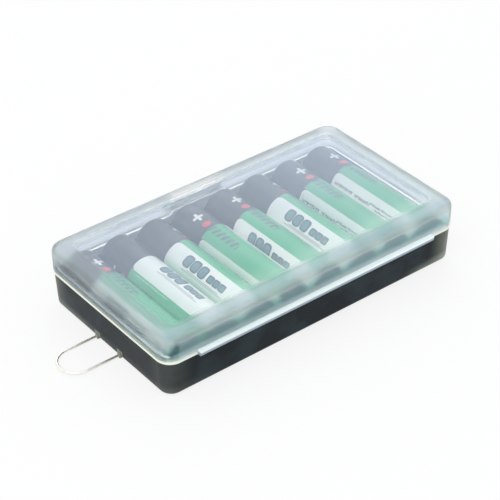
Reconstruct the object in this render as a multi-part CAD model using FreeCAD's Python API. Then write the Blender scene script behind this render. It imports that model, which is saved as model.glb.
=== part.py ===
"""Hinged storage case for eight small cylindrical cells, with a wire hanger.

Millimetres.  +X runs along the case away from the hanger, +Y from the finger
lip to the hinge, +Z up.  The origin is the centre of the tray's underside.
Each sub-component is written as one solid to parts/<node>.step.
"""

import FreeCAD
import Part

import math
import os

Vector = FreeCAD.Vector
X_AXIS = Vector(1, 0, 0)
Y_AXIS = Vector(0, 1, 0)
Z_AXIS = Vector(0, 0, 1)

# --- Cells: R03, 10.5 x 44.5 ---------------------------------------------
CELL_COUNT = 8
CELL_PITCH = 11.0
CELL_R = 5.25
CELL_LENGTH = 44.5
SLEEVE_WALL = 0.12
SLEEVE_LAP = 1.05           # fold of the sleeve over each end
CAN_FOOT_R = 0.6
CRIMP_R = 0.5
BUTTON_R = 1.85
BUTTON_HEIGHT = 0.9         # above the sleeve's shoulder
BUTTON_EDGE_R = 0.35
FLANGE_LAP = 1.05           # cap flange beyond its button
FLANGE_DEPTH = 0.4
WASHER_LAP = 0.4            # washer under the sleeve's fold
WASHER_HOLE_GAP = 0.35      # washer to button
WASHER_THICK = 0.15

# --- Room for the cells --------------------------------------------------
CRADLE_CLEARANCE = 0.10     # cell to cradle
SIDE_GAP = 0.2              # end cell to tray wall
BUTTON_GAP = 0.35           # button to rear wall
FINGER_GAP = 1.55           # cell bottom to front wall
HEADROOM = 2.5              # cell to lid

# --- Tray ----------------------------------------------------------------
FLOOR = 2.9                 # under each cradle
DIVIDER_DROP = 1.95         # dividers stop this far under the cell axis
RIM_RISE = 1.65             # parting line above the cell axis
TONGUE_WALL = 0.6
TONGUE_HEIGHT = 1.0
TRAY_INSET = 0.2            # tray face behind the lid face at the parting
TRAY_DRAFT = 0.45           # inward taper per side, parting to underside
TRAY_FOOT_R = 1.2           # rounding along the underside
CAVITY_R = 2.0
BEAD_R = 0.45               # closing beads on the front of the tongue
BEAD_PROUD = 0.18
BEAD_RISE = 0.55
BEAD_X = 14.0
BEAD_LENGTH = 9.0

# --- Lid -----------------------------------------------------------------
LID_WALL = 1.2
LID_TOP = 1.3
LID_EDGE_R = 1.5
LID_INNER_R = 0.7
CORNER_R = 4.0              # outer plan corners
SEAT_GAP = 0.05             # lid edge to tray shoulder
TONGUE_GAP = 0.3            # tongue to lid wall
WINDOW_MARGIN = 3.6         # polished panel to the inner face of the wall
WINDOW_R = 2.5
WINDOW_DEPTH = 0.4
LIP_END_GAP = 9.0           # lip end to lid end
LIP_PROUD = 1.3
LIP_HEIGHT = 1.35
LIP_EDGE_R = 0.35

# --- Hinge ---------------------------------------------------------------
HINGE_HALF_X = 8.4
HINGE_OFFSET = 1.9          # pivot behind the lid's rear face
HINGE_STEP = 1.1            # the rear parting line rises this much here
HINGE_STEP_RUN = 1.2        # length of the slope at each end of that step
BARREL_R = 1.5
KNUCKLE_GAP = 0.2           # between neighbouring knuckles
TRAY_KNUCKLE_HALF_X = 4.2
STUB_R = 0.75
STUB_CLEARANCE = 0.05
STUB_REACH = 3.9            # stub length beyond the tray knuckle
WEB_DROP = 4.65             # root of the tray's web under the parting line
LUG_GAP = 0.25              # tray barrel to the lid's cross bar
LUG_HEIGHT = 1.15
LUG_OVERHANG = 0.7          # cross bar behind the pivot
LUG_CHAMFER = 0.5
ROOT = 0.6                  # how far hinge parts run into their walls

# --- Wire hanger ---------------------------------------------------------
WIRE_R = 0.35
WIRE_LIFT = 0.45            # wire above the underside
WIRE_HALF_Y = 4.75          # centre line of each limb
WIRE_REACH = 13.45          # tip's centre line beyond the lid's end
WIRE_BEND_R = 0.5
WIRE_TOE = 0.6              # straight end after each bend
WIRE_STOP_GAP = 0.15        # toe to bay wall with the loop pulled out
GUIDE_CLEARANCE = 0.05
GUIDE_LENGTH = 3.5          # tray end to the bays
BAY_LENGTH = 10.6
BAY_SIDE_GAP = 0.6
BAY_ROOF_GAP = 0.2
BOSS_WALL = 0.38
BOSS_PROUD = 0.3

# --- Places that follow from the sizes above -----------------------------
CELL_ROW_HALF_X = (CELL_COUNT - 1) / 2 * CELL_PITCH
CAVITY_HALF_X = CELL_ROW_HALF_X + CELL_R + SIDE_GAP
CAVITY_HALF_Y = (CELL_LENGTH + BUTTON_GAP + FINGER_GAP) / 2
RIM = TONGUE_WALL + TONGUE_GAP + LID_WALL
CASE_HALF_X = CAVITY_HALF_X + RIM
CASE_HALF_Y = CAVITY_HALF_Y + RIM
TRAY_HALF_X = CASE_HALF_X - TRAY_INSET
TRAY_HALF_Y = CASE_HALF_Y - TRAY_INSET
CRADLE_R = CELL_R + CRADLE_CLEARANCE
CELL_Z = FLOOR + CRADLE_R
CELL_BOTTOM_Y = FINGER_GAP - CAVITY_HALF_Y
DIVIDER_Z = CELL_Z - DIVIDER_DROP
PARTING_Z = CELL_Z + RIM_RISE
CEILING_Z = CELL_Z + CELL_R + HEADROOM
CASE_HEIGHT = CEILING_Z + LID_TOP
HINGE_Y = CASE_HALF_Y + HINGE_OFFSET
HINGE_Z = PARTING_Z + HINGE_STEP
LUG_Z0 = HINGE_Z + BARREL_R + LUG_GAP
LUG_Z1 = LUG_Z0 + LUG_HEIGHT
LUG_Y1 = HINGE_Y + LUG_OVERHANG
WIRE_Z = WIRE_LIFT + WIRE_R
WIRE_TIP_X = -CASE_HALF_X - WIRE_REACH
FOOT_END_X = TRAY_DRAFT - TRAY_HALF_X
GUIDE_R = WIRE_R + GUIDE_CLEARANCE
GUIDE_END_X = FOOT_END_X + GUIDE_LENGTH
BOSS_R = GUIDE_R + BOSS_WALL
BOSS_TIP_X = FOOT_END_X - BOSS_PROUD


def rounded_outline(half_x, half_y, radius, z):
    """Closed wire of a rounded rectangle centred on the Z axis."""
    ax, ay = half_x - radius, half_y - radius
    diagonal = radius * math.sqrt(0.5)
    edges = []
    for sx, sy in ((1, 1), (-1, 1), (-1, -1), (1, -1)):
        centre = Vector(sx * ax, sy * ay, z)
        along_x = centre + Vector(sx * radius, 0, 0)
        along_y = centre + Vector(0, sy * radius, 0)
        middle = centre + Vector(sx * diagonal, sy * diagonal, 0)
        first, last = (along_x, along_y) if sx * sy > 0 else (along_y, along_x)
        edges.append((first, middle, last))
    parts = []
    for index, (first, middle, last) in enumerate(edges):
        parts.append(Part.Arc(first, middle, last).toShape())
        following = edges[(index + 1) % len(edges)][0]
        parts.append(Part.LineSegment(last, following).toShape())
    return Part.Wire(parts)


def rounded_block(half_x, half_y, radius, z0, z1):
    """Upright prism with a rounded rectangular plan."""
    face = Part.Face(rounded_outline(half_x, half_y, radius, z0))
    return face.extrude(Vector(0, 0, z1 - z0))


def box(x0, x1, y0, y1, z0, z1):
    """Axis-aligned box between two corners."""
    return Part.makeBox(x1 - x0, y1 - y0, z1 - z0, Vector(x0, y0, z0))


def edges_at_height(shape, z):
    """Edges that lie wholly in the plane at height z."""
    found = []
    for edge in shape.Edges:
        limits = edge.BoundBox
        if abs(limits.ZMin - z) < 1e-4 and abs(limits.ZMax - z) < 1e-4:
            found.append(edge)
    return found


def profile_prism(points, x0, x1):
    """Prism along X over a closed YZ polygon."""
    corners = [Vector(x0, y, z) for y, z in points]
    face = Part.Face(Part.makePolygon(corners + corners[:1]))
    return face.extrude(Vector(x1 - x0, 0, 0))


def barrel(x0, x1, radius):
    """Cylinder on the hinge axis."""
    base = Vector(x0, HINGE_Y, HINGE_Z)
    return Part.makeCylinder(radius, x1 - x0, base, X_AXIS)


def barrel_point(radius, degrees):
    """YZ point round the hinge axis, from +Y towards +Z."""
    angle = math.radians(degrees)
    return (HINGE_Y + radius * math.cos(angle),
            HINGE_Z + radius * math.sin(angle))


def cell_x(index):
    """Centre of cell number index, counted from 1 at the hanger end."""
    return (index - 1) * CELL_PITCH - CELL_ROW_HALF_X


def hinge_step(z, y0, y1):
    """Raised length of rear wall at the hinge, standing on height z."""
    run = HINGE_HALF_X + HINGE_STEP_RUN
    outline = [(-run, z - 0.5), (-run, z), (-HINGE_HALF_X, z + HINGE_STEP),
               (HINGE_HALF_X, z + HINGE_STEP), (run, z), (run, z - 0.5)]
    corners = [Vector(x, y0, height) for x, height in outline]
    face = Part.Face(Part.makePolygon(corners + corners[:1]))
    return face.extrude(Vector(0, y1 - y0, 0))


def tray_shell():
    """Tapered tray with its rounded underside, cavity and cradles."""
    shoulder = PARTING_Z - SEAT_GAP
    corner_r = CORNER_R - TRAY_INSET
    outer = Part.makeLoft([
        rounded_outline(TRAY_HALF_X - TRAY_DRAFT, TRAY_HALF_Y - TRAY_DRAFT,
                        corner_r - TRAY_DRAFT, 0),
        rounded_outline(TRAY_HALF_X, TRAY_HALF_Y, corner_r, shoulder),
    ], True, True)
    outer = outer.makeFillet(TRAY_FOOT_R, edges_at_height(outer, 0))

    tongue_x, tongue_y = CAVITY_HALF_X + TONGUE_WALL, CAVITY_HALF_Y + TONGUE_WALL
    tongue_r = CORNER_R - LID_WALL - TONGUE_GAP
    tongue_top = PARTING_Z + TONGUE_HEIGHT
    body = outer.fuse(rounded_block(tongue_x, tongue_y, tongue_r,
                                    shoulder - 1, tongue_top))
    body = body.fuse(hinge_step(shoulder, CAVITY_HALF_Y - ROOT, TRAY_HALF_Y))
    body = body.fuse(hinge_step(tongue_top, CAVITY_HALF_Y - ROOT, tongue_y))
    for side in (-1, 1):
        start = Vector(side * BEAD_X - BEAD_LENGTH / 2,
                       BEAD_R - BEAD_PROUD - tongue_y,
                       PARTING_Z + BEAD_RISE)
        body = body.fuse(Part.makeCylinder(BEAD_R, BEAD_LENGTH, start, X_AXIS))

    body = body.cut(rounded_block(CAVITY_HALF_X, CAVITY_HALF_Y, CAVITY_R,
                                  DIVIDER_Z, CASE_HEIGHT))
    for index in range(1, CELL_COUNT + 1):
        start = Vector(cell_x(index), -CAVITY_HALF_Y, CELL_Z)
        body = body.cut(Part.makeCylinder(CRADLE_R, 2 * CAVITY_HALF_Y,
                                          start, Y_AXIS))
    return body


def tray_knuckle():
    """Central hinge knuckle with its web and the two stub pins."""
    root_y = TRAY_HALF_Y - TRAY_DRAFT - ROOT
    web_z = PARTING_Z - WEB_DROP
    web = [
        (root_y, web_z),
        (TRAY_HALF_Y - TRAY_DRAFT, web_z),
        barrel_point(BARREL_R, -32),
        (HINGE_Y, HINGE_Z),
        barrel_point(BARREL_R, -165),
        (TRAY_HALF_Y + STUB_CLEARANCE, PARTING_Z - SEAT_GAP),
        (root_y, PARTING_Z - SEAT_GAP),
    ]
    half = TRAY_KNUCKLE_HALF_X
    reach = half + STUB_REACH
    knuckle = profile_prism(web, -half, half)
    knuckle = knuckle.fuse(barrel(-half, half, BARREL_R))
    return knuckle.fuse(barrel(-reach, reach, STUB_R))


def make_tray():
    """The lower moulding, one solid."""
    tray = tray_shell().fuse(tray_knuckle())
    toe_reach = WIRE_BEND_R + WIRE_TOE + BAY_SIDE_GAP
    for side in (-1, 1):
        limb_y = side * WIRE_HALF_Y
        tip = Vector(BOSS_TIP_X, limb_y, WIRE_Z)
        run = GUIDE_END_X - BOSS_TIP_X
        tray = tray.fuse(Part.makeCylinder(BOSS_R, run / 2, tip, X_AXIS))
        start = tip - X_AXIS
        tray = tray.cut(Part.makeCylinder(GUIDE_R, run + 1.5, start, X_AXIS))
        near, far = sorted((limb_y - side * BAY_SIDE_GAP,
                            limb_y + side * toe_reach))
        tray = tray.cut(box(GUIDE_END_X, GUIDE_END_X + BAY_LENGTH, near, far,
                            -1, WIRE_Z + WIRE_R + BAY_ROOF_GAP))
    return tray.removeSplitter()


def lid_lug():
    """Hinge lug: a cross bar with a bored knuckle under each end."""
    root_y = CASE_HALF_Y - ROOT
    bar = [
        (root_y, LUG_Z0),
        (LUG_Y1, LUG_Z0),
        (LUG_Y1, LUG_Z1 - LUG_CHAMFER),
        (LUG_Y1 - LUG_CHAMFER, LUG_Z1),
        (root_y, LUG_Z1),
    ]
    lug = profile_prism(bar, -HINGE_HALF_X, HINGE_HALF_X)
    cheek = [
        (root_y, HINGE_Z),
        (HINGE_Y, HINGE_Z),
        barrel_point(BARREL_R, 0),
        barrel_point(BARREL_R, 42),
        (LUG_Y1, LUG_Z0 + LUG_CHAMFER),
        (root_y, LUG_Z0 + LUG_CHAMFER),
    ]
    inner = TRAY_KNUCKLE_HALF_X + KNUCKLE_GAP
    for x0, x1 in ((-HINGE_HALF_X, -inner), (inner, HINGE_HALF_X)):
        lug = lug.fuse(profile_prism(cheek, x0, x1))
        lug = lug.fuse(barrel(x0, x1, BARREL_R))
    return lug


def make_lid():
    """The upper moulding, one solid."""
    half_x, half_y = CASE_HALF_X, CASE_HALF_Y
    outer = rounded_block(half_x, half_y, CORNER_R, PARTING_Z, CASE_HEIGHT)
    outer = outer.makeFillet(LID_EDGE_R, edges_at_height(outer, CASE_HEIGHT))
    lip_x = half_x - LIP_END_GAP
    lip = box(-lip_x, lip_x, -half_y - LIP_PROUD, LID_WALL / 2 - half_y,
              PARTING_Z, PARTING_Z + LIP_HEIGHT)
    nose = [edge for edge in lip.Edges
            if edge.BoundBox.YMax < -half_y - LIP_PROUD + 1e-4]
    lip = lip.makeFillet(LIP_EDGE_R, nose)
    body = outer.fuse(lip).fuse(lid_lug())

    inner_x, inner_y = half_x - LID_WALL, half_y - LID_WALL
    hollow = rounded_block(inner_x, inner_y, CORNER_R - LID_WALL,
                           PARTING_Z - 1, CEILING_Z)
    hollow = hollow.makeFillet(LID_INNER_R, edges_at_height(hollow, CEILING_Z))
    body = body.cut(hollow)
    body = body.cut(rounded_block(inner_x - WINDOW_MARGIN,
                                  inner_y - WINDOW_MARGIN, WINDOW_R,
                                  CEILING_Z - 0.5, CEILING_Z + WINDOW_DEPTH))
    body = body.cut(hinge_step(PARTING_Z, inner_y - ROOT, half_y))
    reach = HINGE_HALF_X + 1
    bore = STUB_R + STUB_CLEARANCE
    for x0, x1 in ((-reach, -TRAY_KNUCKLE_HALF_X), (TRAY_KNUCKLE_HALF_X, reach)):
        body = body.cut(barrel(x0, x1, bore))
    return body.removeSplitter()


def make_hanger():
    """One bent wire: two limbs, a half-round tip and outward toes."""
    tip_centre_x = WIRE_TIP_X + WIRE_HALF_Y
    toe_x = GUIDE_END_X + WIRE_STOP_GAP + WIRE_R
    bend_x = toe_x - WIRE_BEND_R
    bend_mid = WIRE_BEND_R * (1 - math.sqrt(0.5))
    z = WIRE_Z

    def limb(side):
        y = side * WIRE_HALF_Y
        toe_y = y + side * (WIRE_BEND_R + WIRE_TOE)
        return [
            Part.LineSegment(Vector(toe_x, toe_y, z),
                             Vector(toe_x, y + side * WIRE_BEND_R, z)),
            Part.Arc(Vector(toe_x, y + side * WIRE_BEND_R, z),
                     Vector(toe_x - bend_mid, y + side * bend_mid, z),
                     Vector(bend_x, y, z)),
            Part.LineSegment(Vector(bend_x, y, z),
                             Vector(tip_centre_x, y, z)),
        ]

    tip = Part.Arc(Vector(tip_centre_x, WIRE_HALF_Y, z),
                   Vector(WIRE_TIP_X, 0, z),
                   Vector(tip_centre_x, -WIRE_HALF_Y, z))
    route = limb(1) + [tip] + limb(-1)
    path = Part.Wire(Part.__sortEdges__([piece.toShape() for piece in route]))
    start = Vector(toe_x, WIRE_HALF_Y + WIRE_BEND_R + WIRE_TOE, z)
    section = Part.Wire(Part.makeCircle(WIRE_R, start, Y_AXIS))
    return path.makePipeShell([section], True, True)


def along_cell(radius, y0, y1):
    """Cylinder on the Y axis between two stations."""
    return Part.makeCylinder(radius, y1 - y0, Vector(0, y0, 0), Y_AXIS)


def edges_at_station(shape, y):
    """Circular edges of a cell piece in the plane at station y."""
    found = []
    for edge in shape.Edges:
        limits = edge.BoundBox
        if abs(limits.YMin - y) < 1e-4 and abs(limits.YMax - y) < 1e-4:
            found.append(edge)
    return found


def make_cell():
    """The four pieces of one cell, on the Y axis with the button to +Y."""
    bottom = CELL_BOTTOM_Y
    shoulder = bottom + CELL_LENGTH - BUTTON_HEIGHT
    can_y0 = bottom + SLEEVE_WALL
    can_y1 = shoulder - SLEEVE_WALL - WASHER_THICK
    can_r = CELL_R - SLEEVE_WALL

    can = along_cell(can_r, can_y0, can_y1)
    can = can.makeFillet(CAN_FOOT_R, edges_at_station(can, can_y0))
    can = can.makeFillet(CRIMP_R, edges_at_station(can, can_y1))
    flange_r = BUTTON_R + FLANGE_LAP
    flange_y0 = can_y1 - FLANGE_DEPTH
    can = can.cut(along_cell(flange_r, flange_y0, can_y1 + 1))

    cap = along_cell(flange_r, flange_y0, can_y1)
    button = along_cell(BUTTON_R, flange_y0, shoulder + BUTTON_HEIGHT)
    crown = edges_at_station(button, shoulder + BUTTON_HEIGHT)
    cap = cap.fuse(button.makeFillet(BUTTON_EDGE_R, crown))

    fold_r = CELL_R - SLEEVE_LAP
    washer = along_cell(fold_r + WASHER_LAP, can_y1, can_y1 + WASHER_THICK)
    washer = washer.cut(along_cell(BUTTON_R + WASHER_HOLE_GAP,
                                   can_y1 - 1, can_y1 + 1))

    sleeve = along_cell(CELL_R, bottom, shoulder)
    sleeve = sleeve.makeFillet(CAN_FOOT_R + SLEEVE_WALL,
                               edges_at_station(sleeve, bottom))
    sleeve = sleeve.makeFillet(CRIMP_R + SLEEVE_WALL,
                               edges_at_station(sleeve, shoulder))
    sleeve = sleeve.cut(can.fuse(cap)).cut(washer)
    sleeve = sleeve.cut(along_cell(fold_r, bottom - 1, shoulder + 1))
    return {"can": can, "sleeve": sleeve, "cap": cap, "washer": washer}


def main():
    """Build every sub-component and write it to parts/."""
    os.makedirs("parts", exist_ok=True)
    nodes = {
        "tray": make_tray(),
        "lid": make_lid(),
        "hanger_wire": make_hanger(),
    }
    pieces = make_cell()
    for index in range(1, CELL_COUNT + 1):
        for piece, shape in pieces.items():
            placed = shape.translated(Vector(cell_x(index), 0, CELL_Z))
            nodes[f"cell_{index}_{piece}"] = placed
    for name, shape in nodes.items():
        solid = shape.Solids[0] if len(shape.Solids) == 1 else shape
        solid.exportStep(f"parts/{name}.step")
        print(name, solid.ShapeType, len(shape.Solids), solid.isValid(),
              round(solid.Volume, 2))


main()
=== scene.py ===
"""Looks of a storage case for eight small cells: smoke tray, frosted lid, wire hanger, sleeved cells."""

import logging
import math
from dataclasses import dataclass, field
from enum import Enum
from typing import Iterable, Union

import bpy
from mathutils import Matrix, Quaternion, Vector


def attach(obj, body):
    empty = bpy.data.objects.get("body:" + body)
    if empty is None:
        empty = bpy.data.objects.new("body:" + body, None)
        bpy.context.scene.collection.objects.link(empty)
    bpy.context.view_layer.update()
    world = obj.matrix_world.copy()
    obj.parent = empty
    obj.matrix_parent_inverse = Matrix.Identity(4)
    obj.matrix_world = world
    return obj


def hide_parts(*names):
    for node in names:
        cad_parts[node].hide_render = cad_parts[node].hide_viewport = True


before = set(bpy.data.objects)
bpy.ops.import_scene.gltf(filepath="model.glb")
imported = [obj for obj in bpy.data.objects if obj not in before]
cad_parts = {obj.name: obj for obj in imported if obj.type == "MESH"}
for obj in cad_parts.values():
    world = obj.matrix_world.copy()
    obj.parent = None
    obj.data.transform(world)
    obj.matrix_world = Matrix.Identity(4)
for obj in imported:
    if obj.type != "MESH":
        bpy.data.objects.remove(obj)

MM = 0.001
FULL_TURN = 360.0
CELL_RADIUS = 5.25  # millimetres
PRINT_SPAN = 100.0  # millimetres along a cell for 1 in V
LOG = logging.getLogger("storage_case")
Span = tuple[float, float]
Shares = tuple[tuple[str, float], ...]
Triple = tuple[float, float, float]
Colour = Triple
WHITE: Colour = (1.0, 1.0, 1.0)


class Signal:
    """A value socket that takes part in Python arithmetic, each step adding a Math node."""

    def __init__(self, shader: "Shader", socket: bpy.types.NodeSocket) -> None:
        """Wraps one output socket of a shader."""
        self.shader = shader
        self.socket = socket

    def _math(self, operation: str, *values: "Value") -> "Signal":
        """Adds one Math node over the values."""
        return self.shader.math(operation, *values)

    def __add__(self, other: "Value") -> "Signal":
        """Sum."""
        return self._math("ADD", self, other)

    def __radd__(self, other: "Value") -> "Signal":
        """Sum, the other way round."""
        return self._math("ADD", other, self)

    def __sub__(self, other: "Value") -> "Signal":
        """Difference."""
        return self._math("SUBTRACT", self, other)

    def __rsub__(self, other: "Value") -> "Signal":
        """Difference, the other way round."""
        return self._math("SUBTRACT", other, self)

    def __mul__(self, other: "Value") -> "Signal":
        """Product."""
        return self._math("MULTIPLY", self, other)

    def __rmul__(self, other: "Value") -> "Signal":
        """Product, the other way round."""
        return self._math("MULTIPLY", other, self)

    def __abs__(self) -> "Signal":
        """Size without its sign."""
        return self._math("ABSOLUTE", self)

    def wrapped(self, low: float, high: float) -> "Signal":
        """The value brought into the span from low to high by whole turns of the span."""
        return self._math("WRAP", self, high, low)

    def at_least(self, other: "Value") -> "Signal":
        """The larger of the two."""
        return self._math("MAXIMUM", self, other)

    def at_most(self, other: "Value") -> "Signal":
        """The smaller of the two."""
        return self._math("MINIMUM", self, other)

    def clamped(self) -> "Signal":
        """The value held between 0 and 1."""
        return self._math("MINIMUM", self._math("MAXIMUM", self, 0.0), 1.0)

    def fades(self, start: float, end: float) -> "Signal":
        """A mask that goes smoothly from 0 to 1.

        Args:
            start: Where it is 0; may be the larger.
            end: Where it is 1.

        Returns:
            The mask.
        """
        low, high = (0.0, 1.0) if start < end else (1.0, 0.0)
        steps = self.shader.node(
            "ShaderNodeMapRange",
            {"interpolation_type": "SMOOTHSTEP"},
            {"Value": self, "From Min": min(start, end), "From Max": max(start, end),
             "To Min": low, "To Max": high},
        )
        return Signal(self.shader, steps.outputs["Result"])


Value = Union[Signal, float, int]


class Shader:
    """A node tree and the one way in which nodes are added to it."""

    def __init__(self, tree: bpy.types.NodeTree) -> None:
        """Empties a tree and takes it over."""
        self.tree = tree
        self.tree.nodes.clear()

    @classmethod
    def of_material(cls, name: str) -> tuple["Shader", bpy.types.Material]:
        """A new material's shader.

        Args:
            name: What the material is called.

        Returns:
            The shader and its material.
        """
        material = bpy.data.materials.new(name)
        material.use_nodes = True
        return cls(material.node_tree), material

    def node(self, kind: str, settings: dict | None = None,
             sockets: dict | None = None) -> bpy.types.Node:
        """Adds one node: its settings first, then its sockets.

        Args:
            kind: Type name of the node.
            settings: Properties by name.
            sockets: Values, signals or output sockets by input name or number.

        Returns:
            The new node.
        """
        made = self.tree.nodes.new(kind)
        for name, value in (settings or {}).items():
            setattr(made, name, value)
        for name, value in (sockets or {}).items():
            self.feed(made.inputs[name], value)
        return made

    def feed(self, target: bpy.types.NodeSocket, value: object) -> None:
        """Links or sets one input socket; a colour of three parts gets an alpha of 1.

        Args:
            target: The input socket.
            value: A signal, an output socket, a number, a vector or a colour.
        """
        if isinstance(value, Signal):
            self.tree.links.new(value.socket, target)
        elif isinstance(value, bpy.types.NodeSocket):
            self.tree.links.new(value, target)
        elif target.type == "RGBA":
            target.default_value = (*value[:3], 1.0)
        else:
            target.default_value = value

    def math(self, operation: str, *values: Value) -> Signal:
        """One Math node over up to three values."""
        made = self.node("ShaderNodeMath", {"operation": operation}, dict(enumerate(values)))
        return Signal(self, made.outputs[0])

    def place(self, shift: Triple = (0.0, 0.0, 0.0),
              scale: Triple = (1.0, 1.0, 1.0)) -> bpy.types.NodeSocket:
        """Object coordinates in millimetres about a shifted centre, stretched along each axis."""
        mapped = self.node(
            "ShaderNodeMapping",
            {"vector_type": "POINT"},
            {"Vector": self.node("ShaderNodeTexCoord").outputs["Object"],
             "Location": tuple(-s * c for s, c in zip(shift, scale)),
             "Scale": tuple(c / MM for c in scale)},
        )
        return mapped.outputs["Vector"]

    def axes(self, vector: bpy.types.NodeSocket) -> tuple[Signal, Signal, Signal]:
        """The three parts of a vector."""
        split = self.node("ShaderNodeSeparateXYZ", sockets={"Vector": vector})
        return tuple(Signal(self, out) for out in split.outputs)

    def noise(self, vector: bpy.types.NodeSocket, scale: float, detail: float = 2.0,
              rough: float = 0.5) -> Signal:
        """Soft random variation about 0.5, its scale in features per unit of the vector."""
        made = self.node("ShaderNodeTexNoise", {"noise_dimensions": "3D"},
                         {"Vector": vector, "Scale": scale, "Detail": detail, "Roughness": rough})
        return Signal(self, made.outputs["Fac"])

    def blend(self, factor: Value, first: object, second: object) -> bpy.types.NodeSocket:
        """Mixes two colours or colour sockets; the factor is the second's share."""
        made = self.node("ShaderNodeMix", {"data_type": "RGBA"}, {0: factor, 6: first, 7: second})
        return made.outputs[2]

    def layered(self, colour: object, *layers: tuple[Value, object]) -> bpy.types.NodeSocket:
        """Lays colours over a first one, each where its mask says."""
        for mask, laid in layers:
            colour = self.blend(mask, colour, laid)
        return colour

    def bump(self, height: Signal, depth: float, strength: float = 1.0) -> bpy.types.NodeSocket:
        """Normal of a bump whose height of 1 stands for a depth in millimetres."""
        made = self.node("ShaderNodeBump",
                         sockets={"Height": height, "Distance": depth * MM, "Strength": strength})
        return made.outputs["Normal"]

    def surface(self, **sockets: object) -> bpy.types.NodeSocket:
        """A Principled BSDF; underscores in the names stand for spaces."""
        made = self.node("ShaderNodeBsdfPrincipled",
                         sockets={name.replace("_", " "): value for name, value in sockets.items()})
        return made.outputs["BSDF"]

    def blend_surfaces(self, factor: Value, first: bpy.types.NodeSocket,
                       second: bpy.types.NodeSocket) -> bpy.types.NodeSocket:
        """A Mix Shader of two surfaces."""
        made = self.node("ShaderNodeMixShader", sockets={0: factor, 1: first, 2: second})
        return made.outputs["Shader"]

    def flat(self, across: Signal, along: Signal) -> bpy.types.NodeSocket:
        """A flat vector of two distances."""
        return self.node("ShaderNodeCombineXYZ", sockets={"X": across, "Y": along}).outputs["Vector"]

    def finish(self, surface: bpy.types.NodeSocket, kind: str = "ShaderNodeOutputMaterial") -> None:
        """Connects the surface to a new output node."""
        self.node(kind, sockets={"Surface": surface})

    def block(self, across: Signal, along: Signal, half_across: float, half_along: float,
              corner: float, soft: float) -> Signal:
        """Mask of a rounded rectangle centred where both distances are 0.

        Args:
            across: Distance from its centre one way.
            along: Distance from its centre the other way.
            half_across: Half its size the first way.
            half_along: Half its size the second way.
            corner: Corner radius.
            soft: Width of its printed edge.

        Returns:
            1 inside, 0 outside.
        """
        beyond_a = abs(across) - (half_across - corner)
        beyond_b = abs(along) - (half_along - corner)
        over_a, over_b = beyond_a.at_least(0.0), beyond_b.at_least(0.0)
        outside = self.math("SQRT", over_a * over_a + over_b * over_b)
        inside = beyond_a.at_least(beyond_b).at_most(0.0)
        return (outside + inside - corner).fades(soft / 2, -soft / 2)


@dataclass(frozen=True)
class Seam:
    """Line where lid and tray meet, which rises behind the hinge. Millimetres."""

    level: float = 9.95
    rise: float = 1.1
    rise_half: float = 8.4
    rise_run: float = 1.2
    rise_y: Span = (19.0, 20.0)

    def above(self, x: Signal, y: Signal, z: Signal) -> Signal:
        """Height above the seam, below 0 on the tray's side."""
        risen = abs(x).fades(self.rise_half + self.rise_run, self.rise_half) * y.fades(*self.rise_y)
        return z - self.level - self.rise * risen


@dataclass(frozen=True)
class LidZones:
    """Masks of the lid's parts, each 1 on its part, and the clouding of its plastic."""

    cloud: Signal
    grain: Signal
    window: Signal
    pocket_edge: Signal
    plate: Signal
    edge: Signal
    lip: Signal
    lip_top: Signal
    lip_crest: Signal
    rim: Signal
    lug: Signal
    root: Signal
    root_wall: Signal
    front: Signal
    front_left: Signal
    front_right_lit: Signal
    front_band: Signal
    front_foot: Signal
    foot_haze: Signal
    foot_haze_right: Signal
    front_border: Signal
    front_frost: Signal
    left: Signal
    left_near: Signal
    far: Signal
    near: Signal
    rear: Signal
    right: Signal
    right_rear: Signal
    right_corner: Signal
    right_half: Signal

    def total(self, level: float, shares: Shares) -> Signal:
        """A level with a share of each named mask added."""
        return sum((getattr(self, zone) * share for zone, share in shares), level)


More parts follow.
